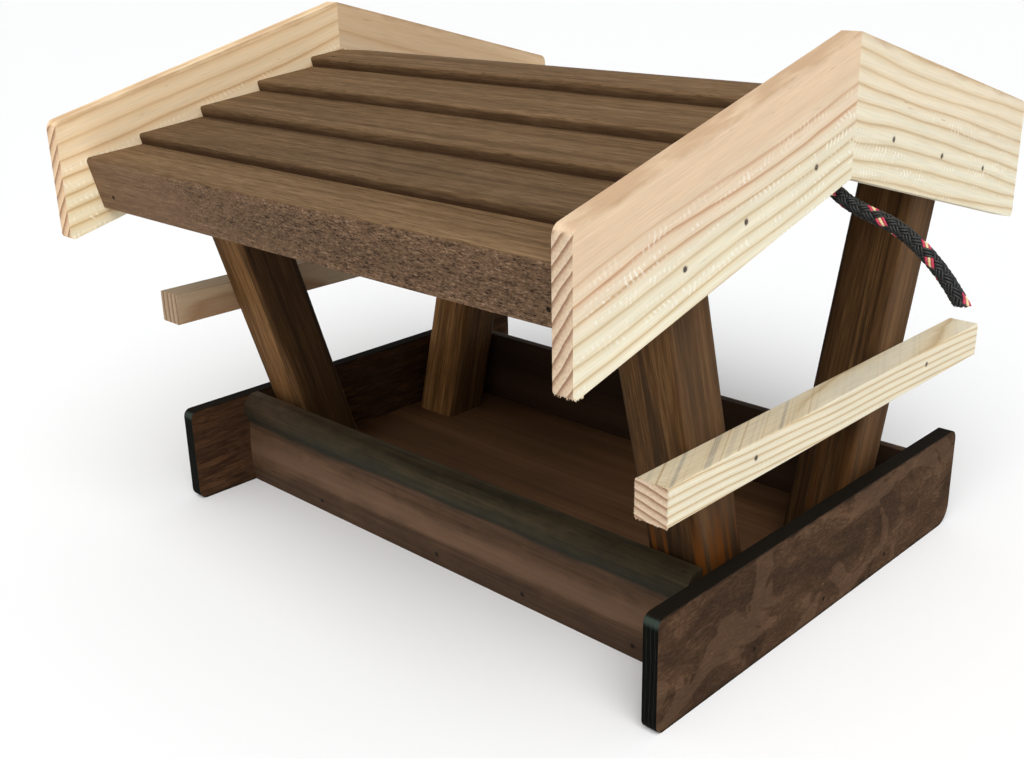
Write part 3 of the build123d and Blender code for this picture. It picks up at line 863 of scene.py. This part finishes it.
def fray(mesh, end_axes, core, end_spot):
    """Short loose fibres that stand on a cut end; end_spot gives the cut's point at an offset."""
    tangent, normal, side = end_axes
    fibres, thickness, depth = 40, 0.00012, 0.0005
    for k in range(fibres):
        angle = 2.4 * k
        reach = core * math.sqrt((k + 0.5) / fibres) * 1.3
        offset = (normal * math.cos(angle) + side * math.sin(angle)) * reach
        root = end_spot(offset) - tangent * depth
        bend = (normal * math.cos(angle * 1.7) + side * math.sin(angle * 1.7)) * 0.0005
        length = 0.0006 + 0.0008 * math.sin(k * 1.3) ** 2
        rings = []
        for m in range(4):
            t = m / 3
            center = root + tangent * length * t + bend * t * t
            rings.append([center + normal * (thickness * math.cos(a)) + side * (thickness * math.sin(a))
                          for a in TRIANGLE])
        add_tube(mesh, rings, (0, 0, 0, 1, 0, 2)[k % 6])


def braid(name, route, start, turn, materials, spacing, sides, frayed):
    """Tubular braid of two sets of strands, three yarns in each, round a core.

    start is the lay's phase in metres and turn the way in which it runs on from there. spacing is
    the distance between rings, sides the corners of a yarn, and frayed gives the end a level cut.
    One strand is the tracer: its middle yarn has the third material and its outer yarns the second.
    """
    points, length = even_points(nurbs_line(route), spacing)
    axes = frames_along(points)
    last = len(points) - 1
    step = length / last
    cut = [max(0.0, 1 - (last - i) * step / CUT_REACH) if frayed else 0.0 for i in range(last + 1)]

    def spot(i, offset):
        """Point beside the centre line; the last few millimetres lean over into a level cut."""
        tangent = axes[i][0]
        slant = -tangent.z / max(0.3, abs(tangent.z)) * (offset.z - tangent.z * offset.dot(tangent))
        return points[i] + offset + tangent * (slant * cut[i])

    mesh = bmesh.new()
    core = ROPE_RADIUS * 0.66
    core_sides = 12
    around = [2 * math.pi * k / core_sides for k in range(core_sides)]
    add_tube(mesh, [[spot(i, (n * math.cos(a) + b * math.sin(a)) * core) for a in around]
                    for i, (_, n, b) in enumerate(axes)], 0)
    half_width, half_height = 0.00070, 0.00056  # half of a yarn's section, round and outward
    middle_radius, swing = ROPE_RADIUS - 0.00105, 0.00042  # of the wave over and under
    steepness, flatness = 1.15, 0.32  # of that wave between its crossings
    yarn_angle = 2 * math.pi / STRANDS / 3
    for hand in (1, -1):
        for k in range(STRANDS):
            for yarn in (-1, 0, 1):
                tracer = hand > 0 and k == 0
                slot = (2 if yarn == 0 else 1) if tracer else 0
                rings = []
                for i, (tangent, normal, side) in enumerate(axes):
                    turned = 2 * math.pi * (start + turn * i * step) / LAY
                    angle = turn * (2 * math.pi * k / STRANDS + yarn * yarn_angle + hand * turned)
                    over = math.cos(STRANDS * (turned + hand * yarn * yarn_angle / 2))
                    over *= steepness / math.sqrt(over * over + flatness)
                    radius = middle_radius + hand * swing * over
                    out = normal * math.cos(angle) + side * math.sin(angle)
                    round_way = side * math.cos(angle) - normal * math.sin(angle)
                    lean = hand * 2 * math.pi * radius / LAY
                    wide = (round_way - tangent * lean).normalized()
                    angles = [2 * math.pi * m / sides for m in range(sides)]
                    rings.append([
                        spot(i, out * (radius + half_height * math.sin(a))
                             + wide * (half_width * math.cos(a)))
                        for a in angles])
                add_tube(mesh, rings, slot)
    if frayed:
        fray(mesh, axes[-1], core, lambda offset: spot(last, offset))
    piece = make_piece(name, mesh, materials)
    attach(piece, ROOT)
    return piece, points, length


def yarn_material(name, dark, light):
    """Twisted synthetic yarn with fine glossy fibres."""
    shade = Shade(name, 0.42, 0.5)
    coords = shade.place()
    fuzz = shade.noise(coords, (2600, 2600, 2600), 3, 0.6)
    patches = shade.noise(coords, (420, 420, 420), 2)
    value = shade.math("MULTIPLY_ADD", fuzz, 0.6, shade.math("MULTIPLY", patches, 0.4))
    color = shade.ramp(value, [(0.38, dark), (0.62, light)])
    return shade.finish(color, fuzz, 0.0002)


def make_rope():
    """Braid in place of the three plain rope nodes; the pattern runs on through all three."""
    yarns = [
        yarn_material("black_yarn", srgb(2, 2, 2), srgb(15, 18, 17)),
        yarn_material("pink_yarn", srgb(150, 24, 56), srgb(214, 62, 96)),
        yarn_material("cream_yarn", srgb(196, 170, 118), srgb(236, 218, 170)),
    ]
    held_length = HELD[-1][0] - HELD[0][0]
    tails = (
        ("rope_right_tail", RIGHT_TAIL, held_length + LAY_SHIFT, 1),
        ("rope_left_tail", LEFT_TAIL, LAY_SHIFT, -1),
    )
    for node, route, start, turn in tails:
        piece, points, length = braid(
            f"{node}_braid", route, start, turn, yarns, spacing=0.0007, sides=8, frayed=True)
        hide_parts(node)
    held, _, _ = braid("rope_under_ridge_braid", HELD, LAY_SHIFT, 1, yarns,
                       spacing=0.0016, sides=6, frayed=False)
    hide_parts("rope_under_ridge")


make_rope()
paint_woods()
torn_ends()
